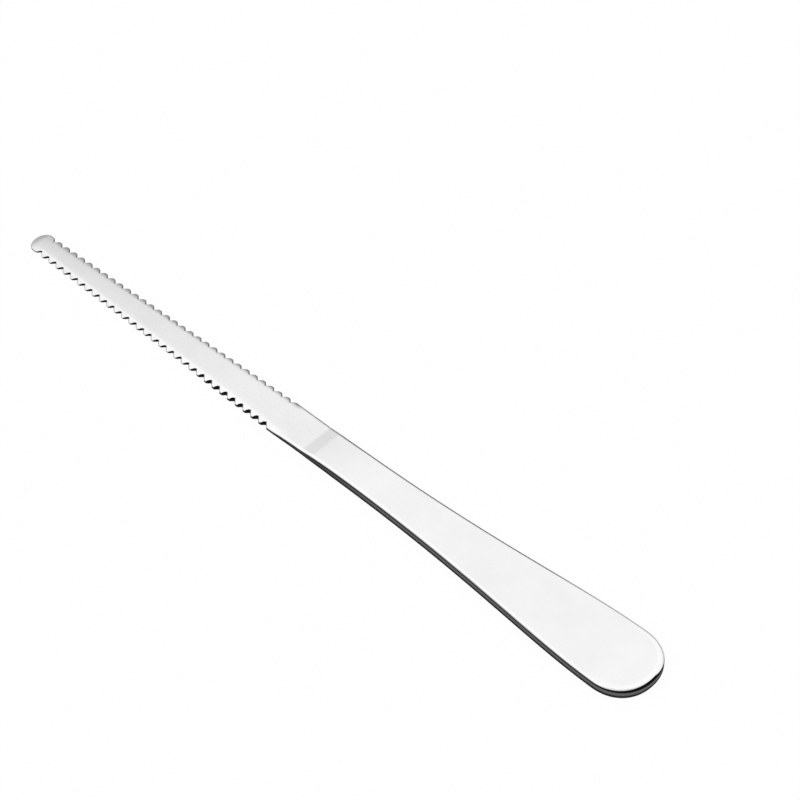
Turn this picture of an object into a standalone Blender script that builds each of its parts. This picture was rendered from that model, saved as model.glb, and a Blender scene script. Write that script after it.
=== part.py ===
"""Grapefruit knife: a blade scalloped on both edges, with its tang set in a flat steel handle.

Metres, +Z up. The knife lies on its handle with the tip towards -X. The origin is under the middle
of its length, on the surface that the handle rests on.
"""

import math

import bmesh
import bpy

# Blade plan, from the tip towards the handle
HEAD_ROUND_LENGTH = 0.00235
HEAD_FLAT_LENGTH = 0.00078
HEAD_WIDTH = 0.0065
NOTCH_COUNT = 31
NOTCH_PITCH = 0.002743
FIRST_NOTCH_DEPTH = 0.0011
LAST_NOTCH_DEPTH = 0.00086
NOTCH_SHAPE = 1.7
ROOT_WIDTH = 0.01046
RICASSO_LENGTH = 0.0109

# Blade section: the upper face runs level along the teeth, and the underside is ground thin in front
HEAD_RISE = 0.0007
FACE_RISE = 0.0009
HEAD_THICKNESS = 0.00065
FRONT_THICKNESS = 0.00095
GROUND_THICKNESS = 0.00102
ROOT_THICKNESS = 0.0016
SEAM_THICKNESS = 0.002
HEAD_BLEND = 0.0036
GRIND_LENGTH = 0.057
GRIND_FADE = 0.013
BEVEL_WIDTH = 0.0017
UPPER_BEVEL_DEPTH = 0.0003
LOWER_BEVEL_DEPTH = 0.0001
BEVEL_RUN_OUT = 0.004
RICASSO_CHAMFER_WIDTH = 0.0006
RICASSO_CHAMFER_DEPTH = 0.0003

# Tang, and the film of braze that holds it in the handle's socket
TANG_LENGTH = 0.022
TANG_WIDTH = 0.006
TANG_THICKNESS = 0.0008
TANG_OVERLAP = 0.003
BRAZE_FILM = 0.0001

# Handle plan
HANDLE_LENGTH = 0.1059
SEAM_WIDTH = 0.0103
NECK_WIDTH = 0.01014
NECK_FROM_SEAM = 0.0071
SWELL_WIDTH = 0.0196
SWELL_FROM_END = 0.0098

# Pull of the outline's curves, as shares of the stretch that each one crosses
NECK_PULL = 0.53
SWELL_PULL = 0.24
END_PULL = 0.57
END_FULLNESS = 0.63

# Handle section
HANDLE_THICKNESS = 0.0031
HANDLE_EDGE_RADIUS = 0.0008
NOSE_LENGTH = 0.0037
NOSE_THICKNESS = 0.00254
SHOULDER_LENGTH = 0.0115
NOSE_STOCK = 0.003

# Mesh fineness
HEAD_STEPS = 10
NOTCH_STEPS = 12
RUN_OUT_STEPS = 3
SHOULDER_STEPS = 4
OUTLINE_STEPS = 16
EDGE_STEPS = 2
HEAD_FACE_SHARE = 0.45
WELD_DISTANCE = 0.000001
SHARP_ANGLE = math.radians(30)

# Places worked out from the sizes, as distances from the tip
TEETH_START = HEAD_ROUND_LENGTH + HEAD_FLAT_LENGTH
TEETH_END = TEETH_START + NOTCH_COUNT * NOTCH_PITCH
BLADE_LENGTH = TEETH_END + RICASSO_LENGTH
HANDLE_START = BLADE_LENGTH + BRAZE_FILM
OVERALL_LENGTH = HANDLE_START + HANDLE_LENGTH
MID_HEIGHT = HANDLE_THICKNESS / 2

STEEL_COLOUR = (0.74, 0.74, 0.73, 1)
BLADE_ROUGHNESS = 0.32
HANDLE_ROUGHNESS = 0.2


def mix(start, end, share):
    """Value between start and end, with the share held between 0 and 1."""
    held = min(max(share, 0), 1)
    return start + (end - start) * held


def clear_scene():
    for obj in list(bpy.data.objects):
        bpy.data.objects.remove(obj, do_unlink=True)


def add_collection(name):
    collection = bpy.data.collections.new(name)
    bpy.context.scene.collection.children.link(collection)
    return collection


def add_object(name, mesh, collection, distance):
    """Object whose own X starts at a distance from the tip, at the knife's mid height."""
    obj = bpy.data.objects.new(name, mesh)
    obj.location = (distance - OVERALL_LENGTH / 2, 0, MID_HEIGHT)
    collection.objects.link(obj)
    return obj


def steel(name, roughness):
    material = bpy.data.materials.new(name)
    material.use_nodes = True
    shader = material.node_tree.nodes["Principled BSDF"]
    shader.inputs["Base Color"].default_value = STEEL_COLOUR
    shader.inputs["Metallic"].default_value = 1
    shader.inputs["Roughness"].default_value = roughness
    return material


def bar(name, start, end, width, thickness, collection, distance):
    """Flat bar along X, centred on the knife's axis and mid height, kept as a hidden tool body."""
    bm = bmesh.new()
    bmesh.ops.create_cube(bm, size=1)
    bmesh.ops.scale(bm, verts=bm.verts, vec=(end - start, width, thickness))
    bmesh.ops.translate(bm, verts=bm.verts, vec=((start + end) / 2, 0, 0))
    mesh = bpy.data.meshes.new(name)
    bm.to_mesh(mesh)
    bm.free()
    obj = add_object(name, mesh, collection, distance)
    obj.hide_render = True
    obj.display_type = "WIRE"
    return obj


def boolean(obj, tool, operation):
    modifier = obj.modifiers.new(tool.name, "BOOLEAN")
    modifier.operation = operation
    modifier.solver = "EXACT"
    modifier.object = tool


def toothed_share(distance):
    """0 at the first tooth, 1 at the last."""
    return (distance - TEETH_START) / (TEETH_END - TEETH_START)


def ricasso_share(distance):
    """0 at the last tooth, 1 at the seam."""
    return (distance - TEETH_END) / RICASSO_LENGTH


def blade_edge(distance):
    """Half width of the blade before its notches are cut."""
    if distance < HEAD_ROUND_LENGTH:
        reach = 1 - distance / HEAD_ROUND_LENGTH
        return HEAD_WIDTH / 2 * math.sqrt(1 - reach * reach)
    if distance < TEETH_END:
        return mix(HEAD_WIDTH, ROOT_WIDTH, toothed_share(distance)) / 2
    return mix(ROOT_WIDTH, SEAM_WIDTH, ricasso_share(distance)) / 2


def notch(distance):
    """Depth that the scallops take off the edge: rounded notches between broader rounded teeth."""
    if distance < TEETH_START or distance > TEETH_END:
        return 0
    phase = (distance - TEETH_START) / NOTCH_PITCH
    depth = mix(FIRST_NOTCH_DEPTH, LAST_NOTCH_DEPTH, toothed_share(distance))
    return depth * abs(math.sin(math.pi * phase)) ** (2 * NOTCH_SHAPE)


def head_blend(distance):
    """0 on the thin round head, rising to 1 where the teeth carry the full section."""
    return (distance - HEAD_ROUND_LENGTH) / HEAD_BLEND


def bevel_run_out(distance):
    """0 along the teeth, rising to 1 where the bevel has run out into the plain root."""
    return (distance - TEETH_END) / BEVEL_RUN_OUT


def bevel_width(distance):
    return mix(BEVEL_WIDTH, RICASSO_CHAMFER_WIDTH, bevel_run_out(distance))


def bevel_drop(distance, offset, depth):
    """How far the bevel, or the chamfer behind it, takes a point of the edge off the flat face."""
    outward = 1 - (blade_edge(distance) - abs(offset)) / bevel_width(distance)
    toothed = mix(0, depth, head_blend(distance))
    return mix(0, mix(toothed, RICASSO_CHAMFER_DEPTH, bevel_run_out(distance)), outward)


def face_height(distance):
    """Height of the upper face above mid height: lowest at the head, level along the teeth."""
    rise = mix(HEAD_RISE, FACE_RISE, head_blend(distance))
    return mix(rise, SEAM_THICKNESS / 2, ricasso_share(distance))


def blade_thickness(distance):
    """Thickness in the middle: thinnest at the head, ground along the front, fuller towards the seam."""
    if distance < GRIND_LENGTH:
        front = mix(FRONT_THICKNESS, GROUND_THICKNESS, distance / GRIND_LENGTH)
        return mix(HEAD_THICKNESS, front, head_blend(distance))
    if distance < TEETH_END:
        return mix(GROUND_THICKNESS, ROOT_THICKNESS, (distance - GRIND_LENGTH) / GRIND_FADE)
    return mix(ROOT_THICKNESS, SEAM_THICKNESS, ricasso_share(distance))


def blade_points(distance, lanes):
    """Section across the blade: the upper face from lane to lane, then back along the underside."""
    face = face_height(distance)
    under = face - blade_thickness(distance)
    upper = [(distance, lane, face - bevel_drop(distance, lane, UPPER_BEVEL_DEPTH)) for lane in lanes]
    lower = [(distance, lane, under + bevel_drop(distance, lane, LOWER_BEVEL_DEPTH)) for lane in lanes]
    return upper + lower[::-1]


def blade_stations():
    """Distances from the tip at which the blade's cross-sections stand."""
    stations = []
    for step in range(HEAD_STEPS + 1):
        angle = math.pi / 2 * (step + 0.5) / (HEAD_STEPS + 0.5)
        stations.append(HEAD_ROUND_LENGTH * (1 - math.cos(angle)))
    for step in range(NOTCH_COUNT * NOTCH_STEPS + 1):
        stations.append(TEETH_START + NOTCH_PITCH * step / NOTCH_STEPS)
    for step in range(1, RUN_OUT_STEPS + 1):
        stations.append(TEETH_END + BEVEL_RUN_OUT * step / RUN_OUT_STEPS)
    stations.append(BLADE_LENGTH)
    return stations


def blade_lanes(distance):
    """Offsets across the blade: both edges, and the two lines where the bevels meet the face."""
    edge = blade_edge(distance)
    outer = edge - notch(distance)
    inner = max(edge - bevel_width(distance), edge * HEAD_FACE_SHARE)
    return (-outer, -inner, inner, outer)


def make_blade(parts, tools):
    """Skin laid over the stations' sections, closed at both ends, with the tang joined on."""
    bm = bmesh.new()
    rings = []
    for distance in blade_stations():
        points = blade_points(distance, blade_lanes(distance))
        rings.append([bm.verts.new(point) for point in points])
    for first, second in zip(rings, rings[1:]):
        for side in range(len(first)):
            bm.faces.new((first[side - 1], first[side], second[side], second[side - 1]))
    bm.faces.new(rings[0])
    bm.faces.new(rings[-1])
    bmesh.ops.recalc_face_normals(bm, faces=bm.faces)
    mesh = bpy.data.meshes.new("blade")
    bm.to_mesh(mesh)
    bm.free()
    blade = add_object("blade", mesh, parts, 0)
    tang = bar("tang", -TANG_OVERLAP, TANG_LENGTH, TANG_WIDTH, TANG_THICKNESS, tools, BLADE_LENGTH)
    boolean(blade, tang, "UNION")
    mesh.materials.append(steel("satin_steel", BLADE_ROUGHNESS))


def handle_knots():
    """Knots of the outline's far half, each with its left and right handles, from the nose to the end."""
    seam = SEAM_WIDTH / 2
    neck = NECK_WIDTH / 2
    swell = SWELL_WIDTH / 2
    swell_x = HANDLE_LENGTH - SWELL_FROM_END
    span = swell_x - NECK_FROM_SEAM
    third = NECK_FROM_SEAM / 3
    return [
        ((-NOSE_STOCK, seam), (-NOSE_STOCK, seam), (-NOSE_STOCK, seam)),
        ((-NOSE_STOCK / 3, seam), (0, seam), (third, seam)),
        ((2 * third, neck), (NECK_FROM_SEAM, neck), (NECK_FROM_SEAM + NECK_PULL * span, neck)),
        ((swell_x - SWELL_PULL * span, swell), (swell_x, swell), (swell_x + END_PULL * SWELL_FROM_END, swell)),
        ((HANDLE_LENGTH, END_FULLNESS * swell), (HANDLE_LENGTH, 0), (HANDLE_LENGTH, -END_FULLNESS * swell)),
    ]


def mirrored(knot):
    left, middle, right = knot
    return ((right[0], -right[1]), (middle[0], -middle[1]), (left[0], -left[1]))


def handle_blank():
    """Plate of the handle's outline and full thickness, with its edges rounded."""
    far_half = handle_knots()
    knots = far_half + [mirrored(knot) for knot in reversed(far_half[:-1])]
    curve = bpy.data.curves.new("handle_outline", "CURVE")
    curve.dimensions = "2D"
    curve.fill_mode = "BOTH"
    curve.extrude = HANDLE_THICKNESS / 2 - HANDLE_EDGE_RADIUS
    curve.bevel_depth = HANDLE_EDGE_RADIUS
    curve.bevel_resolution = EDGE_STEPS
    curve.offset = -HANDLE_EDGE_RADIUS
    spline = curve.splines.new("BEZIER")
    spline.use_cyclic_u = True
    spline.resolution_u = OUTLINE_STEPS
    spline.bezier_points.add(len(knots) - 1)
    for point, (left, middle, right) in zip(spline.bezier_points, knots):
        point.handle_left_type = "FREE"
        point.handle_right_type = "FREE"
        point.co = (*middle, 0)
        point.handle_left = (*left, 0)
        point.handle_right = (*right, 0)
    guide = bpy.data.objects.new("handle_outline", curve)
    bpy.context.scene.collection.objects.link(guide)
    evaluated = guide.evaluated_get(bpy.context.evaluated_depsgraph_get())
    mesh = bpy.data.meshes.new_from_object(evaluated)
    bpy.data.objects.remove(guide, do_unlink=True)
    mesh.name = "handle"
    return mesh


def shoulder_thickness(step):
    """Thickness at a step of the shoulder, which levels out towards the full plate."""
    left = 1 - step / SHOULDER_STEPS
    return mix(HANDLE_THICKNESS, NOSE_THICKNESS, left * left)


def handle_thickness(x):
    """Thickness along the handle: a sloped nose, a shoulder made of short flats, then the full plate."""
    if x < NOSE_LENGTH:
        return mix(SEAM_THICKNESS, NOSE_THICKNESS, x / NOSE_LENGTH)
    place = min((x - NOSE_LENGTH) / SHOULDER_LENGTH, 1) * SHOULDER_STEPS
    step = math.floor(place)
    return mix(shoulder_thickness(step), shoulder_thickness(step + 1), place - step)


def slice_across(bm, x, trim):
    """Cut the mesh square across at X, and with trim close it there and drop what lies before."""
    everything = bm.verts[:] + bm.edges[:] + bm.faces[:]
    cut = bmesh.ops.bisect_plane(bm, geom=everything, dist=WELD_DISTANCE, plane_co=(x, 0, 0),
                                 plane_no=(1, 0, 0), clear_inner=trim)
    if trim:
        rim = [item for item in cut["geom_cut"] if isinstance(item, bmesh.types.BMEdge)]
        bmesh.ops.edgeloop_fill(bm, edges=rim)


def make_handle(parts, tools):
    """Blank trimmed square at the seam, thinned along its nose and socketed for the tang."""
    mesh = handle_blank()
    bm = bmesh.new()
    bm.from_mesh(mesh)
    bmesh.ops.remove_doubles(bm, verts=bm.verts, dist=WELD_DISTANCE)
    slice_across(bm, 0, trim=True)
    for step in range(SHOULDER_STEPS + 1):
        slice_across(bm, NOSE_LENGTH + SHOULDER_LENGTH * step / SHOULDER_STEPS, trim=False)
    for vert in bm.verts:
        vert.co.z *= handle_thickness(vert.co.x) / HANDLE_THICKNESS
    bmesh.ops.recalc_face_normals(bm, faces=bm.faces)
    bm.to_mesh(mesh)
    bm.free()
    mesh.shade_smooth()
    mesh.set_sharp_from_angle(angle=SHARP_ANGLE)
    handle = add_object("handle", mesh, parts, HANDLE_START)
    socket_width = TANG_WIDTH + 2 * BRAZE_FILM
    socket_thickness = TANG_THICKNESS + 2 * BRAZE_FILM
    socket = bar("socket", -NOSE_STOCK, TANG_LENGTH, socket_width, socket_thickness, tools, HANDLE_START)
    boolean(handle, socket, "DIFFERENCE")
    mesh.materials.append(steel("polished_steel", HANDLE_ROUGHNESS))


def main():
    clear_scene()
    parts = add_collection("grapefruit_knife")
    tools = add_collection("tool_bodies")
    make_blade(parts, tools)
    make_handle(parts, tools)


main()
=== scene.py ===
"""Grapefruit knife: the ground blade, the polished handle, their steels, and the table they lie on.

Metres, +Z up. The knife lies along X on its handle, with the tip towards -X. Its near edge faces -Y and
its far edge faces +Y.
"""

import math

import bmesh
import bpy
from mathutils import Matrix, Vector
from mathutils.geometry import interpolate_bezier


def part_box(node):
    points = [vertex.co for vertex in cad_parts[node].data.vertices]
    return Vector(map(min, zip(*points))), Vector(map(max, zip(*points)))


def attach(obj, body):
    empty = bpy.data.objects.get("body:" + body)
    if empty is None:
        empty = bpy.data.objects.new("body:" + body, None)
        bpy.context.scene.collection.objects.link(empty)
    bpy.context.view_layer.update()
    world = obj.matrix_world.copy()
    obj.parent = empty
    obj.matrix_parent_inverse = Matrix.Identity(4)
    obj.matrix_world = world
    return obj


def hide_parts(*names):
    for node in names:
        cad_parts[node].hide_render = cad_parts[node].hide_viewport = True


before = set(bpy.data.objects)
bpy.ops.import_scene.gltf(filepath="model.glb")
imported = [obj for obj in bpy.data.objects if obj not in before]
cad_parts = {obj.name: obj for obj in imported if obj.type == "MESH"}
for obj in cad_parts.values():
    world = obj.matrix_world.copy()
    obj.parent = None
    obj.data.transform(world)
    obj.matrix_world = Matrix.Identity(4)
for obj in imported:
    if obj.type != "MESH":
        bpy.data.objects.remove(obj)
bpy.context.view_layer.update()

bl_info = {
    "name": "Grapefruit Knife",
    "version": (1, 0, 0),
    "blender": (4, 5, 0),
    "location": "View3D > Sidebar > Knife",
    "description": "Builds a grapefruit knife with a double-scalloped blade, its steels and its stage",
    "category": "Object",
}

BLADE_LOW, BLADE_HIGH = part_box("blade")
HANDLE_LOW, HANDLE_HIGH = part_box("handle")

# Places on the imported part
TIP_X = BLADE_LOW[0]
SEAM_X = HANDLE_LOW[0]
TANG_END_X = BLADE_HIGH[0]
HANDLE_LENGTH = HANDLE_HIGH[0] - HANDLE_LOW[0]
HANDLE_WIDTH = HANDLE_HIGH[1] - HANDLE_LOW[1]
HANDLE_THICKNESS = HANDLE_HIGH[2] - HANDLE_LOW[2]
MID_HEIGHT = (HANDLE_LOW[2] + HANDLE_HIGH[2]) / 2

# Mesh fineness
HEAD_STEPS = 28
NOTCH_STEPS = 20
RICASSO_STEPS = 36
NECK_STEPS = 30
GRIP_STEPS = 110
END_STEPS = 40
ROLL_STEPS = 6
BEVEL_STEPS = 8
FACE_STEPS = 3
TABLE_STEPS = 96
WELD_DISTANCE = 1e-7
SLIVER_LENGTH = 1e-8
SHARP_ANGLE = math.radians(40)

# Most of an edge's thickness that its rounding may take
ROLL_SHARE = 0.6

# Darkness of the painted shade lines along the teeth, at the first tooth and at the last
NEAR_LINE_DARK = (0.3, 0.9)
FAR_LINE_DARK = (0.6, 1)

# Slant of a tooth's flank at which its painted shade line is darkest or gone
FLANK_SLANT = 0.6

# Share of its darkness that the far painted shade line loses at the bottom of a notch
NOTCH_LOSS = 0.3

# How much faster the painted shade lines run out behind the teeth than the bevels do
LINE_RUN_OUT = 3

# Share of the painted highlight line on the near bevel that is left at the last tooth
GLEAM_LEFT = 0.3

# Share of a notch's depth down to which the painted highlight brightens the near teeth
HIGHLIGHT_SHARE = 0.5

# Steps of the handle's rounding over which the painted shade line along the grip sets in
LINE_STEPS = 2

# Directions of the bright light: surfaces facing away from them get painted shade, the dark colour of the
# upright edges
BLADE_BRIGHT_SIDE = (-0.08, -0.28, 0.95)
HANDLE_BRIGHT_SIDE = (-0.3, -0.25, 0.92)

# Cosine from such a direction at which a surface starts to turn from painted shade to bright steel, and
# where it is fully bright steel
BRIGHT_START = 0.6
BRIGHT_FULL = 0.8

# Painted highlight round the handle's rim, as a direction, the cosines from it, and the gain there
RIM_SIDE = (0.45, 0.55, 0.7)
NO_RIM = (0, 0, 0)
RIM_START = 0.85
RIM_FULL = 0.97
RIM_GAIN = 0.8

# Upward lean over which the top of an upright edge turns dark as a painted dark reflection, and the share
# of its tone left there
TURN_START = 0.02
TURN_END = 0.2
TURN_LEFT = 0.03

# Distance from the seam, in neck places, at which the handle's upright edge has the grip's tone of painted
# dark reflection
WALL_CHANGE = 4

# Height, in foot heights, at which an upright edge has lost the painted shadow at its foot
FOOT_FADE = 1.8

# How much brighter a face is where its painted highlight is full
SHINE_GAIN = 0.14

# Grain along and across the steel, in lines per metre, and its depth
BLADE_GRAIN = (400, 12000)
BLADE_GRAIN_DEPTH = 0.000004
HANDLE_GRAIN = (150, 9000)
HANDLE_GRAIN_DEPTH = 0.000002
GRAIN_STRENGTH = 0.5

# Range of the noise that the grain and the smears use, and what they do to roughness and brightness
NOISE_LOW = 0.3
NOISE_HIGH = 0.7
ROUGHNESS_SPREAD = 0.15
SMEAR_DARK = 0.97
SMEAR_BRIGHT = 1.02

# Specks: share of places without one, where a speck is full and where it ends, and its shade
SPECK_RARITY = 0.985
SPECK_CORE = 0.1
SPECK_RIM = 0.3
SPECK_SHADE = -0.05

# Nearest distance that the camera sees
CLIP_START = 0.01


def length(name, description, default):
    return bpy.props.FloatProperty(
        name=name, description=description, default=default, min=0, precision=5, unit="LENGTH")


def share(name, description, default):
    return bpy.props.FloatProperty(
        name=name, description=description, default=default, min=0, max=1, subtype="FACTOR")


def colour(name, description, default):
    return bpy.props.FloatVectorProperty(
        name=name, description=description, default=default, min=0, max=1, size=4, subtype="COLOR")


def cosine(name, description, default):
    return bpy.props.FloatProperty(
        name=name, description=description, default=default, min=-1, max=1)


def direction(name, description, default):
    return bpy.props.FloatVectorProperty(
        name=name, description=description, default=default, subtype="DIRECTION")


class KnifeBladeSizes(bpy.types.PropertyGroup):
    head_round: length("Head round", "Length of the half round at the tip", 0.00235)
    head_flat: length("Head flat", "Plain edge between the round and the first notch", 0.00078)
    head_width: length("Head width", "Width across the head", 0.0065)
    notch_count: bpy.props.IntProperty(
        name="Notches", description="Notches along each edge", default=31, min=1)
    notch_pitch: length("Notch pitch", "Distance from tooth to tooth", 0.002743)
    notch_depth: length("Notch depth", "Depth of the first notch below the tooth tips", 0.0011)
    last_notch_depth: length("Last notch depth", "Depth of the notch nearest the handle", 0.00086)
    notch_shape: bpy.props.FloatProperty(
        name="Notch shape", description="How narrow the notches are, from 1 for an even wave",
        default=1.7, min=1)
    root_width: length("Root width", "Width at the last tooth", 0.01046)
    seam_width: length("Seam width", "Width where the blade meets the handle", 0.0103)
    head_rise: length("Head rise", "Height of the upper face above mid height at the head", 0.0008)
    face_rise: length("Face rise", "Height of the upper face above mid height at the last teeth", 0.0009)
    crown: length("Crown", "How far the upper face falls away to its edges at the tip", 0.00015)
    head_thickness: length("Head thickness", "Thickness at the round head", 0.00065)
    front_thickness: length("Front thickness", "Thickness behind the head", 0.00095)
    ground_thickness: length("Ground thickness", "Thickness where the ground front ends", 0.00102)
    root_thickness: length("Root thickness", "Thickness from the grind's fade to the last tooth", 0.0016)
    seam_thickness: length("Seam thickness", "Thickness where the blade meets the handle", 0.002)
    head_blend: length("Head blend", "Length from the thin head to the full section of the teeth", 0.0036)
    grind_length: length("Grind length", "Length of the front that is ground thin", 0.057)
    grind_fade: length("Grind fade", "Length over which the grind fades out", 0.013)
    bevel_width: length("Bevel width", "Width of the bevel along the teeth", 0.0017)
    tip_bevel: length("Tip bevel", "Depth of the upper bevel at the first teeth", 0.00023)
    root_bevel: length("Root bevel", "Depth of the upper bevel at the last teeth", 0.00027)
    lower_bevel: length("Lower bevel", "Depth of the lower bevel at the tooth tips", 0.0001)
    head_bevel: share("Head bevel", "Share of the bevels' depth round the head", 0.4)
    near_run_out: length("Near run-out", "Length over which the near bevels end behind the teeth", 0.009)
    far_run_out: length("Far run-out", "Length over which the far bevels end behind the teeth", 0.003)
    roll_width: length("Roll width", "Width of the rounding that polishing left along the teeth", 0.00012)
    roll_depth: length("Roll depth", "Depth of the rounding that polishing left along the teeth", 0.0001)
    # far_line and near_line are the widths of painted shade lines along the teeth
    far_line: length("Far line", "Width of the dark line along the far teeth", 0.0005)
    near_line: length("Near line", "Width of the dark line along the near teeth", 0.0002)
    # The far shade is painted shade on the far teeth
    far_shade: share("Far shade", "How much duller the polish is on the far teeth", 0.58)
    tip_shade_width: length(
        "Tip shade width", "Width of the duller band along the far teeth near the tip", 0.0019)
    root_shade_width: length("Root shade width", "Width of that band near the root", 0.00125)
    # The gleam is a painted highlight along the near bevel
    gleam_place: length(
        "Gleam place", "Distance of the bright line on the near bevel from the tooth tips", 0.00125)
    gleam_width: length("Gleam width", "Width over which the bright line fades to either side", 0.00085)
    # Front shine and root shine are a painted highlight on the near tooth tips
    front_shine: share(
        "Front shine", "How far honing brightened the near tooth tips along the thin front", 0.43)
    root_shine: share("Root shine", "How far it brightened the top of the near tooth tips at the root", 0.6)
    # The head shade is painted shade on the round head
    head_shade: share("Head shade", "How much duller the polish is on the round head", 0.1)
    head_reach: length("Head reach", "Length over which the head's duller polish fades", 0.009)
    tang_width: length("Tang width", "Width of the tang inside the handle", 0.006)
    tang_thickness: length("Tang thickness", "Thickness of the tang inside the handle", 0.0008)


class KnifeHandleSizes(bpy.types.PropertyGroup):
    neck_width: length("Neck width", "Width at the narrowest place", 0.01014)
    neck_place: length("Neck place", "Distance of the neck from the seam", 0.0071)
    swell_place: length("Swell place", "Distance of the widest place from the end", 0.0098)
    neck_pull: share("Neck pull", "How far the neck's straightness reaches", 0.53)
    swell_pull: share("Swell pull", "How far the swell's straightness reaches", 0.24)
    end_pull: share("End pull", "How far the sides run on towards the end", 0.57)
    end_fullness: share("End fullness", "How blunt the end is", 0.63)
    edge_radius: length("Edge radius", "Rounding along the handle's edges", 0.0008)
    nose_length: length("Nose length", "Length of the sloped nose at the seam", 0.0037)
    nose_start: length("Nose start", "Length over which the nose's slope begins", 0.0008)
    nose_thickness: length("Nose thickness", "Thickness where the nose ends", 0.00254)
    shoulder_length: length("Shoulder length", "Length over which the shoulder levels out", 0.0115)
    socket_gap: length("Socket gap", "Clearance round the tang", 0.0001)
    # The far line is painted shade along the far edge of the grip
    far_line: share("Far line", "How dark buffing left the far edge along the grip", 1)
    far_line_start: length(
        "Far line start", "Length from the seam over which that dark edge sets in", 0.006)
    far_line_end: length("Far line end", "Distance from the end where it stops", 0.022)
    far_line_fade: length("Far line fade", "Length over which it fades out", 0.018)
    # The rim shine is a painted highlight round the handle's end
    rim_shine: share("Rim shine", "How far buffing brightened the rim round the end", 0.6)
    rim_place: length("Rim place", "Distance of that bright rim from the edge", 0.0012)
    rim_width: length("Rim width", "Width over which it fades to either side", 0.0008)
    rim_reach: length("Rim reach", "Length of the end over which the rim brightens", 0.016)


class KnifeSteels(bpy.types.PropertyGroup):
    # The blade's face is darker at the tip than at the root: painted shade
    tip_face: colour("Tip face", "Satin steel at the blade's tip", (0.765, 0.765, 0.765, 1))
    blade_face: colour("Blade face", "Satin steel at the blade's root", (0.835, 0.835, 0.835, 1))
    handle_face: colour("Handle face", "Polished steel of the handle", (0.8, 0.8, 0.8, 1))
    # The upright edges' dark colours are a painted dark reflection
    tooth_wall: colour("Tooth wall", "Unpolished steel inside the notches", (0.01, 0.01, 0.01, 1))
    neck_wall: colour("Neck wall", "Unpolished upright edge at the seam", (0.07, 0.07, 0.07, 1))
    end_wall: colour("End wall", "Unpolished upright edge of the grip", (0.15, 0.15, 0.15, 1))
    # The foot is a painted shadow along the lowest part of the upright edges
    foot: colour("Foot", "Lowest part of the upright edge", (0.02, 0.02, 0.02, 1))
    foot_height: length("Foot height", "Height above the table up to which the edge is darkest", 0.001)
    blade_roughness: share("Blade roughness", "Roughness of the satin steel", 0.3)
    handle_roughness: share("Handle roughness", "Roughness of the polished steel", 0.2)


class KnifeStage(bpy.types.PropertyGroup):
    floor_radius: length("Floor radius", "Radius of the table", 4)
    floor: colour("Floor", "Colour of the table", (0.95, 0.95, 0.95, 1))
    floor_lift: share("Floor lift", "Share of plain white in the table as it is seen", 0.97)
    horizon: share("Horizon", "Brightness of the room at the dark side", 0.3)
    dome: bpy.props.FloatProperty(
        name="Dome", description="Brightness of the soft light overhead", default=1.15, min=0)
    dome_axis: direction("Dome axis", "Direction of the brightest light", (0.45, -0.1, 0.89))
    dome_low: cosine("Dome low", "Cosine from the axis where the light starts to rise", 0)
    dome_high: cosine("Dome high", "Cosine from the axis where the light is full", 0.41)
    box: bpy.props.FloatProperty(
        name="Soft box", description="Extra brightness of the soft box at the near left",
        default=0.12, min=0)
    box_axis: direction("Soft box axis", "Direction of the soft box", (-0.45, -0.5, 0.74))
    box_low: cosine("Soft box low", "Cosine from the soft box where it starts", 0.6)
    box_high: cosine("Soft box high", "Cosine from the soft box where it is full", 0.8)
    card_axis: direction("Card axis", "Direction of the grey card beside the camera", (0.62, -0.38, 0.69))
    card_low: cosine("Card low", "Cosine from the card's middle where it starts", 0.55)
    card_high: cosine("Card high", "Cosine from the card's middle where it is fully grey", 0.87)
    card_light: share("Card light", "Share of the light that the card lets through", 0.7)
    camera_place: bpy.props.FloatVectorProperty(
        name="Camera place", description="Where the camera stands",
        default=(0.34216, -0.33848, 0.55502), precision=5, subtype="TRANSLATION", unit="LENGTH")
    camera_turn: bpy.props.FloatVectorProperty(
        name="Camera turn", description="Tilt, roll and heading of the camera",
        default=(math.radians(41.8797), 0, math.radians(43.1706)), subtype="EULER")
    lens: bpy.props.FloatProperty(
        name="Lens", description="Focal length", default=137.654, unit="CAMERA")


def mix(start, end, part):
    """Value between start and end, with the part held between 0 and 1."""
    held = min(max(part, 0), 1)
    return start + (end - start) * held


def eased(part):
    """The part held between 0 and 1, with a soft start and a soft end."""
    held = min(max(part, 0), 1)
    return held * held * (3 - 2 * held)


class Rib:
    """Line across half of a plate, from the outline in to the spine."""

    def __init__(self, edge, spine):
        self.edge = Vector(edge)
        self.spine = Vector(spine)
        self.inward = Vector((0, 0))

    def mirrored(self):
        return Rib((self.edge.x, -self.edge.y), (self.spine.x, -self.spine.y))


def both_sides(far_ribs):
    """Ribs right round the outline, from the near end of the seam to its far end."""
    ribs = [rib.mirrored() for rib in reversed(far_ribs[1:])] + far_ribs
    for before, rib, after in zip(ribs, ribs[1:], ribs[2:]):
        along = (after.edge - before.edge).normalized()
        rib.inward = Vector((along.y, -along.x))
        if rib.inward.dot(rib.spine - rib.edge) < 0:
            rib.inward.negate()
    for rib in (ribs[0], ribs[-1]):
        rib.inward = (rib.spine - rib.edge).normalized()
    return ribs


def plate(bm, rows):
    """Skin from rows of points, each from the spine above to the wall and back to the spine below.

    Each point carries its place, its painted shade and its painted highlight.
    """
    edge_line = bm.verts.layers.float.new("edge_line")
    edge_shine = bm.verts.layers.float.new("edge_shine")
    grid = []
    for row in rows:
        verts = []
        for *place, dark, shine in row:
            vert = bm.verts.new(place)
            vert[edge_line] = dark
            vert[edge_shine] = shine
            verts.append(vert)
        grid.append(verts)
    for first, second in zip(grid, grid[1:]):
        for lane in range(len(first) - 1):
            bm.faces.new((first[lane], second[lane], second[lane + 1], first[lane + 1]))
    bmesh.ops.remove_doubles(bm, verts=bm.verts, dist=WELD_DISTANCE)
    bmesh.ops.dissolve_degenerate(bm, edges=bm.edges, dist=SLIVER_LENGTH)


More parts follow.
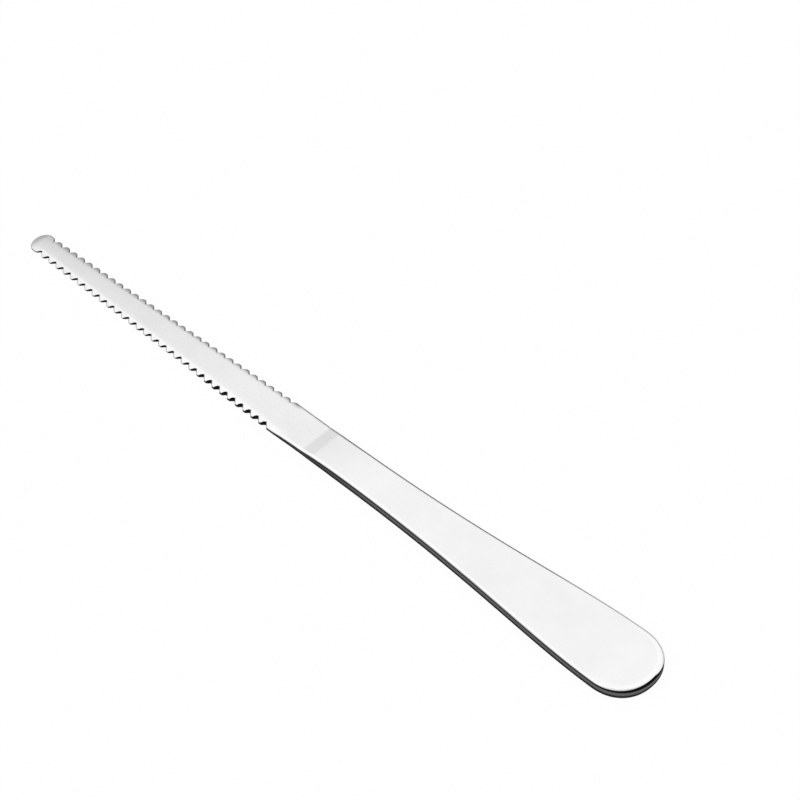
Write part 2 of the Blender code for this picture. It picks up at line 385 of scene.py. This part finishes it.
def bar_at_seam(bm, seam_x, end_x, width, thickness):
    """Close the open seam end round a flat bar, and run the bar along X to its own closed end."""
    rim = [edge for edge in bm.edges if edge.is_boundary]
    corners = []
    for side_y, side_z in ((-1, -1), (1, -1), (1, 1), (-1, 1)):
        corners.append(bm.verts.new((seam_x, side_y * width / 2, side_z * thickness / 2)))
    mouth = [bm.edges.new((corners[i - 1], corners[i])) for i in range(4)]
    bmesh.ops.triangle_fill(bm, edges=rim + mouth, use_beauty=True, normal=(1, 0, 0))
    bar = bmesh.ops.extrude_edge_only(bm, edges=mouth)["geom"]
    end_verts = [item for item in bar if isinstance(item, bmesh.types.BMVert)]
    end_edges = [edge for edge in bar if isinstance(edge, bmesh.types.BMEdge)]
    bmesh.ops.translate(bm, verts=end_verts, vec=(end_x - seam_x, 0, 0))
    bmesh.ops.edgeloop_fill(bm, edges=[edge for edge in end_edges if edge.is_boundary])


def add_piece(name, bm, offset_x):
    """Object from a mesh built about the seam or tip, shaded smooth apart from its square corners."""
    bmesh.ops.recalc_face_normals(bm, faces=bm.faces)
    bmesh.ops.translate(bm, verts=bm.verts, vec=(offset_x, 0, MID_HEIGHT))
    mesh = bpy.data.meshes.new(name)
    bm.to_mesh(mesh)
    bm.free()
    mesh.shade_smooth()
    mesh.set_sharp_from_angle(angle=SHARP_ANGLE)
    obj = bpy.data.objects.new(name, mesh)
    bpy.context.scene.collection.objects.link(obj)
    return obj


def teeth_start(blade):
    """Distance of the first notch from the tip."""
    return blade.head_round + blade.head_flat


def teeth_end(blade):
    """Distance of the end of the last notch from the tip."""
    return teeth_start(blade) + blade.notch_count * blade.notch_pitch


def blade_length():
    """Distance of the seam from the tip."""
    return SEAM_X - TIP_X


def ricasso_part(blade, distance):
    """0 at the last tooth, 1 at the seam."""
    end = teeth_end(blade)
    return (distance - end) / (blade_length() - end)


def toothed_part(blade, distance):
    """0 at the first tooth, 1 at the last."""
    return (distance - teeth_start(blade)) / (teeth_end(blade) - teeth_start(blade))


def plain_edge(blade, distance):
    """Half width of the blade before its notches are cut, behind the round head."""
    if distance < teeth_end(blade):
        return mix(blade.head_width, blade.root_width, toothed_part(blade, distance)) / 2
    return mix(blade.root_width, blade.seam_width, ricasso_part(blade, distance)) / 2


def notch(blade, distance):
    """Depth that the scallops take off the edge: rounded notches between broader rounded teeth."""
    if distance < teeth_start(blade) or distance > teeth_end(blade):
        return 0
    phase = (distance - teeth_start(blade)) / blade.notch_pitch
    depth = mix(blade.notch_depth, blade.last_notch_depth, toothed_part(blade, distance))
    return depth * abs(math.sin(math.pi * phase)) ** (2 * blade.notch_shape)


def blade_stations(blade):
    """Distances from the tip of the ribs behind the round head."""
    stations = [blade.head_round]
    for step in range(blade.notch_count * NOTCH_STEPS + 1):
        stations.append(teeth_start(blade) + blade.notch_pitch * step / NOTCH_STEPS)
    for step in range(1, RICASSO_STEPS + 1):
        stations.append(mix(teeth_end(blade), blade_length(), step / RICASSO_STEPS))
    return stations


def blade_ribs(blade):
    """Ribs that fan out round the head and then run square across to the seam."""
    far = []
    for step in range(HEAD_STEPS):
        angle = math.pi / 2 * step / HEAD_STEPS
        along = blade.head_round * (1 - math.cos(angle))
        across = blade.head_width / 2 * math.sin(angle)
        far.append(Rib((along, across), (blade.head_round, 0)))
    for distance in blade_stations(blade):
        across = plain_edge(blade, distance) - notch(blade, distance)
        far.append(Rib((distance, across), (distance, 0)))
    return both_sides(far)


def head_blend(blade, distance):
    """0 on the thin round head, rising to 1 where the teeth carry the full section."""
    return eased((distance - blade.head_round) / blade.head_blend)


def face_height(blade, distance):
    """Height of the upper face above mid height, which rises a little from the head to the seam."""
    rise = mix(blade.head_rise, blade.face_rise, distance / blade.grind_length)
    return mix(rise, blade.seam_thickness / 2, ricasso_part(blade, distance))


def grind_faded(blade, distance):
    """0 along the ground front, rising to 1 where the grind has faded out."""
    return eased((distance - blade.grind_length) / blade.grind_fade)


def blade_thickness(blade, distance):
    """Thickness in the middle: thinnest at the head, ground along the front, fuller towards the seam."""
    if distance < blade.grind_length:
        front = mix(blade.front_thickness, blade.ground_thickness, distance / blade.grind_length)
        return mix(blade.head_thickness, front, head_blend(blade, distance))
    if distance < teeth_end(blade):
        return mix(blade.ground_thickness, blade.root_thickness, grind_faded(blade, distance))
    return mix(blade.root_thickness, blade.seam_thickness, ricasso_part(blade, distance))


def run_out(blade, place):
    """1 along the teeth, falling to 0 where the bevels have run out into the plain root."""
    run = blade.near_run_out if place.y < 0 else blade.far_run_out
    return 1 - eased((place.x - teeth_end(blade)) / run)


def bevel_part(blade, place, inset):
    """Share of the rounded bevels' depth, at an inset from the edge as it was before the notches."""
    outward = 1 - min(inset / blade.bevel_width, 1)
    run_in = mix(blade.head_bevel, 1, head_blend(blade, place.x))
    return run_in * run_out(blade, place) * outward * outward


def blade_heights(blade, place, inset, full):
    """Heights of the upper face and of the underside, from mid height."""
    face = face_height(blade, place.x)
    under = face - blade_thickness(blade, place.x)
    bevel = bevel_part(blade, place, inset)
    crown = mix(blade.crown, 0, place.x / blade.grind_length)
    depth = mix(blade.tip_bevel, blade.root_bevel, toothed_part(blade, place.x))
    drop = mix(crown * (1 - inset / full) ** 2, depth, bevel)
    return face - drop, under + blade.lower_bevel * bevel


def blade_roll(blade, handle, place):
    """Width and depth of the rounding at the edge, which is the handle's own behind the teeth."""
    toothed = run_out(blade, place)
    depth = handle.edge_radius * blade_thickness(blade, place.x) / HANDLE_THICKNESS
    return mix(handle.edge_radius, blade.roll_width, toothed), mix(depth, blade.roll_depth, toothed)


def edge_line(blade, rib):
    """Width and darkness of the painted shade line along the teeth, set by the slant of each flank."""
    toothed = toothed_part(blade, rib.edge.x)
    if rib.edge.y < 0:
        width = blade.near_line
        dark = mix(*NEAR_LINE_DARK, toothed) * eased(rib.inward.x / FLANK_SLANT)
    else:
        width = blade.far_line
        dark = mix(*FAR_LINE_DARK, toothed) * eased(1 - rib.inward.x / FLANK_SLANT)
        dark *= 1 - NOTCH_LOSS * notch(blade, rib.edge.x) / blade.notch_depth
    return width, dark * run_out(blade, rib.edge) ** LINE_RUN_OUT


def far_shade(blade, place, inset):
    """Painted shade on the far teeth, fading inwards from the edge as it was before the notches."""
    if place.y < 0:
        return 0
    width = mix(blade.tip_shade_width, blade.root_shade_width, toothed_part(blade, place.x))
    toothed = head_blend(blade, place.x) * run_out(blade, place)
    return blade.far_shade * eased(1 - inset / width) * toothed


def near_gleam(blade, place, inset):
    """Brightness of the painted highlight line along the near bevel."""
    if place.y > 0:
        return 0
    toothed = head_blend(blade, place.x) * run_out(blade, place)
    gleam = eased(1 - abs(inset - blade.gleam_place) / blade.gleam_width)
    return gleam * toothed * mix(1, GLEAM_LEFT, toothed_part(blade, place.x))


def tooth_shine(blade, rib):
    """Painted highlight on the near tooth tips, at the top and foot of their upright edge."""
    if rib.edge.y > 0:
        return 0, 0
    distance = rib.edge.x
    faded = grind_faded(blade, distance)
    highlit = eased(1 - notch(blade, distance) / (HIGHLIGHT_SHARE * blade.notch_depth))
    highlit *= head_blend(blade, distance) * run_out(blade, rib.edge)
    top = mix(blade.front_shine, blade.root_shine, faded)
    foot = mix(blade.front_shine, 0, faded)
    return top * highlit, foot * highlit


def head_shade(blade, place):
    """Painted shade on the round head, fading towards the teeth and the near edge."""
    across = 1 + place.y / (blade.head_width / 2)
    return blade.head_shade * mix(1, 0, place.x / blade.head_reach) * mix(0, 1, across)


def blade_row(blade, handle, rib):
    """Points along a rib, from the spine above to the wall and back to the spine below."""
    cut = notch(blade, rib.edge.x)
    full = (rib.edge - rib.spine).length + cut
    roll_width, roll_depth = blade_roll(blade, handle, rib.edge)
    above, below = blade_heights(blade, rib.edge, cut, full)
    roll_depth = min(roll_depth, ROLL_SHARE * (above - below) / 2)
    inner = rib.edge + rib.inward * roll_width
    reach = (inner - rib.spine).length
    bevel_reach = min(full - blade.bevel_width, reach)
    # Painted shade lines and painted highlights along the teeth
    line, darkest = edge_line(blade, rib)
    top_shine, foot_shine = tooth_shine(blade, rib)
    stops = []
    for step in range(FACE_STEPS):
        stops.append((rib.spine.lerp(inner, bevel_reach / reach * step / FACE_STEPS), 0, 0, False))
    for step in range(BEVEL_STEPS):
        along = mix(bevel_reach, reach, step / BEVEL_STEPS)
        dark = darkest * eased(1 - (reach - along) / line)
        stops.append((rib.spine.lerp(inner, along / reach), 0, dark, False))
    for step in range(ROLL_STEPS + 1):
        angle = math.pi / 2 * (1 - step / ROLL_STEPS)
        place = rib.edge + rib.inward * roll_width * (1 - math.cos(angle))
        stops.append((place, roll_depth * (1 - math.sin(angle)), darkest, True))
    upper = []
    lower = []
    for place, sink, dark, rolled in stops:
        inset = full - (place - rib.spine).length
        above, below = blade_heights(blade, place, inset, full)
        # Painted shade on the head and the far teeth, and painted highlights
        dark = max(dark, head_shade(blade, place), far_shade(blade, place, inset))
        shine = top_shine if rolled else near_gleam(blade, place, inset)
        upper.append((place.x, place.y, above - sink, dark, shine))
        lower.append((place.x, place.y, below + sink, dark, foot_shine if rolled else 0))
    return upper + lower[::-1]


def bezier_run(first, last, steps):
    """Points from one knot to the next, without the last one."""
    corners = [Vector((*corner, 0)) for corner in (first[1], first[2], last[0], last[1])]
    return [point.to_2d() for point in interpolate_bezier(*corners, steps + 1)[:-1]]


def handle_outline(blade, handle):
    """Points of the outline's far half, from the end to the seam."""
    seam = blade.seam_width / 2
    neck = handle.neck_width / 2
    swell = HANDLE_WIDTH / 2
    swell_x = HANDLE_LENGTH - handle.swell_place
    span = swell_x - handle.neck_place
    third = handle.neck_place / 3
    end_knot = ((HANDLE_LENGTH, 0), (HANDLE_LENGTH, 0), (HANDLE_LENGTH, handle.end_fullness * swell))
    swell_knot = (
        (swell_x + handle.end_pull * handle.swell_place, swell),
        (swell_x, swell),
        (swell_x - handle.swell_pull * span, swell),
    )
    neck_knot = (
        (handle.neck_place + handle.neck_pull * span, neck),
        (handle.neck_place, neck),
        (2 * third, neck),
    )
    seam_knot = ((third, seam), (0, seam), (0, seam))
    points = bezier_run(end_knot, swell_knot, END_STEPS)
    points += bezier_run(swell_knot, neck_knot, GRIP_STEPS)
    points += bezier_run(neck_knot, seam_knot, NECK_STEPS)
    return points + [Vector(seam_knot[1])]


def handle_ribs(blade, handle):
    """Ribs that fan out round the end and run square across from the swell to the seam."""
    swell_x = HANDLE_LENGTH - handle.swell_place
    far = []
    for point in handle_outline(blade, handle):
        far.append(Rib(point, (min(point.x, swell_x), 0)))
    return both_sides(far)


def handle_height(blade, handle, x):
    """Half thickness along the handle: a sloped nose, a shoulder that levels out, then the full plate."""
    if x < handle.nose_length:
        start = handle.nose_start
        run = x - start / 2 if x > start else x * x / (2 * start)
        part = run / (handle.nose_length - start / 2)
        return mix(blade.seam_thickness, handle.nose_thickness, part) / 2
    left = 1 - min((x - handle.nose_length) / handle.shoulder_length, 1)
    return mix(HANDLE_THICKNESS, handle.nose_thickness, left * left) / 2


def rim_shine(handle, rib, place):
    """Brightness of the painted highlight on the rim round the handle's end."""
    inset = (place - rib.edge).length
    rim = eased(1 - abs(inset - handle.rim_place) / handle.rim_width)
    return handle.rim_shine * rim * eased(1 - (HANDLE_LENGTH - rib.edge.x) / handle.rim_reach)


def grip_line(handle, rib):
    """Darkness of the painted shade along the far edge of the grip, which sets in at the seam and fades
    before the end.
    """
    if rib.edge.y < 0:
        return 0
    set_in = eased(rib.edge.x / handle.far_line_start)
    left = HANDLE_LENGTH - rib.edge.x - handle.far_line_end
    return handle.far_line * set_in * eased(left / handle.far_line_fade)


def handle_row(blade, handle, rib):
    """Points along a rib, from the spine above to the wall and back to the spine below."""
    inner = rib.edge + rib.inward * handle.edge_radius
    # Painted shade along the far edge
    darkest = grip_line(handle, rib)

    def lifted(place, sink, dark=0):
        height = handle_height(blade, handle, place.x) * (1 - sink / (HANDLE_THICKNESS / 2))
        return (place.x, place.y, height, dark, rim_shine(handle, rib, place))

    row = []
    for step in range(FACE_STEPS):
        row.append(lifted(rib.spine.lerp(inner, step / FACE_STEPS), 0))
    for step in range(BEVEL_STEPS):
        part = mix((FACE_STEPS - 1) / FACE_STEPS, 1, (step + 1) / (BEVEL_STEPS + 1))
        row.append(lifted(rib.spine.lerp(inner, part), 0))
    for step in range(ROLL_STEPS + 1):
        angle = math.pi / 2 * (1 - step / ROLL_STEPS)
        place = rib.edge + rib.inward * handle.edge_radius * (1 - math.cos(angle))
        dark = darkest * min(step / LINE_STEPS, 1) ** 2
        row.append(lifted(place, handle.edge_radius * (1 - math.sin(angle)), dark))
    return row + [(x, y, -z, dark, shine) for x, y, z, dark, shine in reversed(row)]


def add_node(tree, kind, inputs=(), **settings):
    """Node with its settings, and its inputs linked where a socket is given or set where a value is."""
    node = tree.nodes.new(kind)
    for name, value in settings.items():
        setattr(node, name, value)
    for key, value in dict(inputs).items():
        if isinstance(value, bpy.types.NodeSocket):
            tree.links.new(value, node.inputs[key])
        else:
            node.inputs[key].default_value = value
    return node


def new_group(name, inputs, outputs):
    """Empty node group with named sockets, and its input and output nodes."""
    tree = bpy.data.node_groups.new(name, "ShaderNodeTree")
    for label, kind, value in inputs:
        socket = tree.interface.new_socket(label, in_out="INPUT", socket_type=kind)
        socket.default_value = value
    for label, kind in outputs:
        tree.interface.new_socket(label, in_out="OUTPUT", socket_type=kind)
    return tree, tree.nodes.new("NodeGroupInput").outputs, tree.nodes.new("NodeGroupOutput").inputs


def brushed_grain():
    """Fine lines left along the steel by its last polishing."""
    name = "Brushed Grain"
    if name in bpy.data.node_groups:
        return bpy.data.node_groups[name]
    tree, given, out = new_group(
        name,
        [("Along", "NodeSocketFloat", 300), ("Across", "NodeSocketFloat", 9000)],
        [("Lines", "NodeSocketFloat")],
    )
    place = add_node(tree, "ShaderNodeTexCoord").outputs["Object"]
    scale = add_node(tree, "ShaderNodeCombineXYZ", {
        0: given["Along"], 1: given["Across"], 2: given["Across"]})
    stretched = add_node(tree, "ShaderNodeVectorMath", {
        0: place, 1: scale.outputs[0]}, operation="MULTIPLY")
    lines = add_node(tree, "ShaderNodeTexNoise", {
        "Vector": stretched.outputs[0], "Scale": 1, "Detail": 3, "Roughness": 0.6})
    tree.links.new(lines.outputs["Fac"], out["Lines"])
    return tree


def handling_marks():
    """Broad smears, and small specks, that use leaves on bright steel."""
    name = "Handling Marks"
    if name in bpy.data.node_groups:
        return bpy.data.node_groups[name]
    tree, given, out = new_group(
        name,
        [("Smear Size", "NodeSocketFloat", 90), ("Speck Size", "NodeSocketFloat", 700)],
        [("Smears", "NodeSocketFloat"), ("Specks", "NodeSocketFloat")],
    )
    place = add_node(tree, "ShaderNodeTexCoord").outputs["Object"]
    smears = add_node(tree, "ShaderNodeTexNoise", {
        "Vector": place, "Scale": given["Smear Size"], "Detail": 5, "Roughness": 0.55})
    cells = add_node(tree, "ShaderNodeTexVoronoi", {"Vector": place, "Scale": given["Speck Size"]})
    chosen = add_node(tree, "ShaderNodeMath", {
        0: cells.outputs["Color"], 1: SPECK_RARITY}, operation="GREATER_THAN")
    dot = add_node(tree, "ShaderNodeMapRange", {
        "Value": cells.outputs["Distance"], "From Min": SPECK_CORE, "From Max": SPECK_RIM,
        "To Min": 1, "To Max": 0}, interpolation_type="SMOOTHSTEP")
    speck = add_node(tree, "ShaderNodeMath", {
        0: chosen.outputs[0], 1: dot.outputs[0]}, operation="MULTIPLY")
    tree.links.new(smears.outputs["Fac"], out["Smears"])
    tree.links.new(speck.outputs[0], out["Specks"])
    return tree


def blended(tree, part, first, second):
    """Colour between two colours."""
    node = add_node(tree, "ShaderNodeMix", {0: part, 6: first, 7: second}, data_type="RGBA")
    return node.outputs[2]


def between(tree, value, low, high):
    """0 below low, 1 above high, and a soft rise between them."""
    node = add_node(tree, "ShaderNodeMapRange", {"Value": value, "From Min": low, "From Max": high},
                    interpolation_type="SMOOTHSTEP")
    return node.outputs[0]


def edge_tone():
    """Bright steel on the faces, with painted shade along the edges, a painted dark reflection and foot
    shadow on upright surfaces, and painted highlights.
    """
    name = "Edge Tone"
    if name in bpy.data.node_groups:
        return bpy.data.node_groups[name]
    tree, given, out = new_group(
        name,
        [("Face", "NodeSocketColor", (1, 1, 1, 1)), ("Wall", "NodeSocketColor", (0, 0, 0, 1)),
         ("Foot", "NodeSocketColor", (0, 0, 0, 1)), ("Foot Height", "NodeSocketFloat", 0),
         ("Bright Side", "NodeSocketVector", (0, 0, 1)), ("Rim Side", "NodeSocketVector", NO_RIM)],
        [("Colour", "NodeSocketColor"), ("Painted Sheen", "NodeSocketFloat")],
    )

    def maths(operation, *values):
        return add_node(tree, "ShaderNodeMath", dict(enumerate(values)), operation=operation).outputs[0]

    def toward(side):
        node = add_node(tree, "ShaderNodeVectorMath", {
            0: coords["Normal"], 1: side}, operation="DOT_PRODUCT")
        return node.outputs["Value"]

    def ranged(value, start, end, low, high):
        node = add_node(tree, "ShaderNodeMapRange", {
            "Value": value, "From Min": start, "From Max": end, "To Min": low, "To Max": high})
        return node.outputs[0]

    def scaled(vector, factor):
        node = add_node(tree, "ShaderNodeVectorMath", {0: vector, "Scale": factor}, operation="SCALE")
        return node.outputs[0]

    coords = add_node(tree, "ShaderNodeTexCoord").outputs
    upward = add_node(tree, "ShaderNodeSeparateXYZ", {0: coords["Normal"]}).outputs["Z"]
    height = add_node(tree, "ShaderNodeSeparateXYZ", {0: coords["Object"]}).outputs["Z"]
    line = add_node(tree, "ShaderNodeAttribute", attribute_name="edge_line").outputs["Fac"]
    shine = add_node(tree, "ShaderNodeAttribute", attribute_name="edge_shine").outputs["Fac"]
    # Painted shade: surfaces facing away from the bright side, unless they face down, take the dark wall
    # colour; the rim gets a painted highlight
    level = maths("MAXIMUM", toward(given["Bright Side"]), maths("MULTIPLY", upward, -1))
    level = maths("ADD", level, ranged(toward(given["Rim Side"]), RIM_START, RIM_FULL, 0, RIM_GAIN))
    lit_facing = between(tree, maths("ADD", level, shine), BRIGHT_START, BRIGHT_FULL)
    painted_sheen = maths("MULTIPLY", lit_facing, maths("SUBTRACT", 1, line))
    # Painted shadow at the foot of the upright edges
    raised = maths("DIVIDE", height, given["Foot Height"])
    wall = blended(tree, between(tree, raised, 1, FOOT_FADE), given["Foot"], given["Wall"])
    # Painted dark reflection along the top of the upright edges
    dark = scaled(wall, ranged(upward, TURN_START, TURN_END, 1, TURN_LEFT))
    # Painted highlight on the faces
    face = scaled(given["Face"], maths("MULTIPLY_ADD", shine, SHINE_GAIN, 1))
    tree.links.new(blended(tree, painted_sheen, dark, face), out["Colour"])
    tree.links.new(painted_sheen, out["Painted Sheen"])
    return tree


def steel(name, steels, faces, roughness, grain, grain_depth, walls, bright_side, rim_side):
    """Bright steel with its grain and handling marks and with painted shade, reflection and highlights,
    whose faces and upright edges change tone along X.
    """
    material = bpy.data.materials.new(name)
    material.use_nodes = True
    tree = material.node_tree
    shader = tree.nodes["Principled BSDF"]
    shader.inputs["Specular IOR Level"].default_value = 0
    place = add_node(tree, "ShaderNodeTexCoord").outputs["Object"]
    along = add_node(tree, "ShaderNodeSeparateXYZ", {0: place}).outputs["X"]

    def changing(stops):
        (first_x, first), (last_x, last) = stops
        return blended(tree, between(tree, along, first_x, last_x), first, last)

    grain_along, grain_across = grain
    lines = add_node(tree, "ShaderNodeGroup", {
        "Along": grain_along, "Across": grain_across}, node_tree=brushed_grain()).outputs["Lines"]
    marks = add_node(tree, "ShaderNodeGroup", node_tree=handling_marks()).outputs
    smeared = add_node(tree, "ShaderNodeMapRange", {
        "Value": marks["Smears"], "From Min": NOISE_LOW, "From Max": NOISE_HIGH,
        "To Min": SMEAR_DARK, "To Max": SMEAR_BRIGHT})
    speckled = add_node(tree, "ShaderNodeMath", {
        0: marks["Specks"], 1: SPECK_SHADE, 2: smeared.outputs[0]}, operation="MULTIPLY_ADD")
    face = add_node(tree, "ShaderNodeVectorMath", {
        0: changing(faces), "Scale": speckled.outputs[0]}, operation="SCALE")
    tone = add_node(tree, "ShaderNodeGroup", {
        "Face": face.outputs[0], "Wall": changing(walls), "Foot": steels.foot,
        "Foot Height": steels.foot_height, "Bright Side": Vector(bright_side).normalized(),
        "Rim Side": rim_side}, node_tree=edge_tone()).outputs
    rough = add_node(tree, "ShaderNodeMapRange", {
        "Value": lines, "From Min": NOISE_LOW, "From Max": NOISE_HIGH,
        "To Min": roughness * (1 - ROUGHNESS_SPREAD), "To Max": roughness * (1 + ROUGHNESS_SPREAD)})
    bump = add_node(tree, "ShaderNodeBump", {
        "Height": lines, "Distance": grain_depth, "Strength": GRAIN_STRENGTH})
    tree.links.new(tone["Colour"], shader.inputs["Base Color"])
    tree.links.new(tone["Painted Sheen"], shader.inputs["Metallic"])
    tree.links.new(rough.outputs[0], shader.inputs["Roughness"])
    tree.links.new(bump.outputs[0], shader.inputs["Normal"])
    return material


class KNIFE_OT_blade(bpy.types.Operator):
    """Build the scalloped blade with its bevels, ricasso and tang"""

    bl_idname = "knife.blade"
    bl_label = "Blade"

    def execute(self, context):
        blade = context.scene.knife_blade
        handle = context.scene.knife_handle
        steels = context.scene.knife_steels
        bm = bmesh.new()
        plate(bm, [blade_row(blade, handle, rib) for rib in blade_ribs(blade)])
        bar_at_seam(bm, blade_length(), TANG_END_X - TIP_X, blade.tang_width, blade.tang_thickness)
        piece = add_piece("knife_blade", bm, TIP_X)
        # The face darkens towards the tip as painted shade, and the upright edges are a painted dark
        # reflection
        faces = ((TIP_X, steels.tip_face), (SEAM_X, steels.blade_face))
        walls = ((TIP_X + teeth_end(blade), steels.tooth_wall), (SEAM_X, steels.neck_wall))
        piece.data.materials.append(steel(
            "satin_steel", steels, faces, steels.blade_roughness, BLADE_GRAIN, BLADE_GRAIN_DEPTH,
            walls, BLADE_BRIGHT_SIDE, NO_RIM))
        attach(piece, "root")
        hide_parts("blade")
        return {"FINISHED"}


class KNIFE_OT_handle(bpy.types.Operator):
    """Build the flat handle with its rounded edges, nose, shoulder and socket"""

    bl_idname = "knife.handle"
    bl_label = "Handle"

    def execute(self, context):
        blade = context.scene.knife_blade
        handle = context.scene.knife_handle
        steels = context.scene.knife_steels
        bm = bmesh.new()
        plate(bm, [handle_row(blade, handle, rib) for rib in handle_ribs(blade, handle)])
        gap = handle.socket_gap
        socket_end = TANG_END_X + gap - SEAM_X
        bar_at_seam(bm, 0, socket_end, blade.tang_width + 2 * gap, blade.tang_thickness + 2 * gap)
        piece = add_piece("knife_handle", bm, SEAM_X)
        # The upright edges are a painted dark reflection, lighter towards the end
        faces = ((SEAM_X, steels.handle_face), (HANDLE_HIGH[0], steels.handle_face))
        walls = ((SEAM_X, steels.neck_wall), (SEAM_X + handle.neck_place * WALL_CHANGE, steels.end_wall))
        piece.data.materials.append(steel(
            "polished_steel", steels, faces, steels.handle_roughness, HANDLE_GRAIN, HANDLE_GRAIN_DEPTH,
            walls, HANDLE_BRIGHT_SIDE, RIM_SIDE))
        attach(piece, "root")
        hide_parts("handle")
        return {"FINISHED"}


def table_top(stage):
    """Matte table that keeps the shadow, and looks white to the camera and in reflections."""
    material = bpy.data.materials.new("table_top")
    material.use_nodes = True
    tree = material.node_tree
    matte = tree.nodes["Principled BSDF"]
    matte.inputs["Base Color"].default_value = stage.floor
    matte.inputs["Roughness"].default_value = 1
    matte.inputs["Specular IOR Level"].default_value = 0
    white = add_node(tree, "ShaderNodeEmission", {"Color": (1, 1, 1, 1), "Strength": 1})
    ray = add_node(tree, "ShaderNodeLightPath").outputs
    seen = add_node(tree, "ShaderNodeMath", {
        0: ray["Is Camera Ray"], 1: ray["Is Glossy Ray"]}, operation="ADD")
    seen = add_node(tree, "ShaderNodeMath", {
        0: seen.outputs[0], 1: ray["Is Transmission Ray"]}, operation="ADD", use_clamp=True)
    part = add_node(tree, "ShaderNodeMath", {
        0: seen.outputs[0], 1: stage.floor_lift}, operation="MULTIPLY")
    lifted = add_node(tree, "ShaderNodeMixShader", {
        0: part.outputs[0], 1: matte.outputs[0], 2: white.outputs[0]})
    tree.links.new(lifted.outputs[0], tree.nodes["Material Output"].inputs["Surface"])
    return material


def add_floor(stage):
    """Round table under the knife."""
    bm = bmesh.new()
    bmesh.ops.create_circle(bm, cap_ends=True, radius=stage.floor_radius, segments=TABLE_STEPS)
    mesh = bpy.data.meshes.new("table")
    bm.to_mesh(mesh)
    bm.free()
    mesh.materials.append(table_top(stage))
    floor = bpy.data.objects.new("table", mesh)
    bpy.context.scene.collection.objects.link(floor)


def add_light(stage):
    """Soft dome, brightest about its axis, with a soft box and a grey card in it."""
    world = bpy.data.worlds.new("soft_dome")
    world.use_nodes = True
    bpy.context.scene.world = world
    tree = world.node_tree
    direction = add_node(tree, "ShaderNodeTexCoord").outputs["Generated"]

    def lobe(axis, outer, inner, low, high):
        toward = add_node(tree, "ShaderNodeVectorMath", {
            0: direction, 1: Vector(axis).normalized()}, operation="DOT_PRODUCT")
        level = add_node(tree, "ShaderNodeMapRange", {
            "Value": toward.outputs["Value"], "From Min": outer, "From Max": inner,
            "To Min": low, "To Max": high}, interpolation_type="SMOOTHSTEP")
        return level.outputs[0]

    dome = lobe(stage.dome_axis, stage.dome_low, stage.dome_high, stage.horizon, stage.dome)
    box = lobe(stage.box_axis, stage.box_low, stage.box_high, 0, stage.box)
    card = lobe(stage.card_axis, stage.card_low, stage.card_high, 1, stage.card_light)
    light = add_node(tree, "ShaderNodeMath", {0: dome, 1: card, 2: box}, operation="MULTIPLY_ADD")
    sky = tree.nodes["Background"]
    sky.inputs["Color"].default_value = (1, 1, 1, 1)
    tree.links.new(light.outputs[0], sky.inputs["Strength"])


def add_camera(stage):
    """Camera above the near side of the handle's end."""
    camera = bpy.data.cameras.new("camera")
    camera.lens = stage.lens
    camera.clip_start = CLIP_START
    view = bpy.data.objects.new("camera", camera)
    view.location = stage.camera_place
    view.rotation_euler = stage.camera_turn
    bpy.context.scene.collection.objects.link(view)
    bpy.context.scene.camera = view


class KNIFE_OT_stage(bpy.types.Operator):
    """Set the table, the soft light and the camera"""

    bl_idname = "knife.stage"
    bl_label = "Stage"

    def execute(self, context):
        stage = context.scene.knife_stage
        add_floor(stage)
        add_light(stage)
        add_camera(stage)
        context.scene.view_settings.view_transform = "Standard"
        return {"FINISHED"}


class VIEW3D_PT_knife(bpy.types.Panel):
    """Buttons for the pieces and the stage, and their sizes and colours"""

    bl_label = "Grapefruit Knife"
    bl_space_type = "VIEW_3D"
    bl_region_type = "UI"
    bl_category = "Knife"

    def draw(self, context):
        for operator in ("knife.blade", "knife.handle", "knife.stage"):
            self.layout.operator(operator)
        for group in SETTINGS:
            settings = getattr(context.scene, group)
            column = self.layout.column()
            for name in settings.bl_rna.properties.keys():
                if name not in ("rna_type", "name"):
                    column.prop(settings, name)


SETTINGS = {
    "knife_blade": KnifeBladeSizes,
    "knife_handle": KnifeHandleSizes,
    "knife_steels": KnifeSteels,
    "knife_stage": KnifeStage,
}
CLASSES = (*SETTINGS.values(), KNIFE_OT_blade, KNIFE_OT_handle, KNIFE_OT_stage, VIEW3D_PT_knife)


def register():
    for cls in CLASSES:
        bpy.utils.register_class(cls)
    for name, cls in SETTINGS.items():
        setattr(bpy.types.Scene, name, bpy.props.PointerProperty(type=cls))


def unregister():
    for name in SETTINGS:
        delattr(bpy.types.Scene, name)
    for cls in reversed(CLASSES):
        bpy.utils.unregister_class(cls)


def main():
    register()
    bpy.ops.knife.blade()
    bpy.ops.knife.handle()
    bpy.ops.knife.stage()


if __name__ == "__main__":
    main()
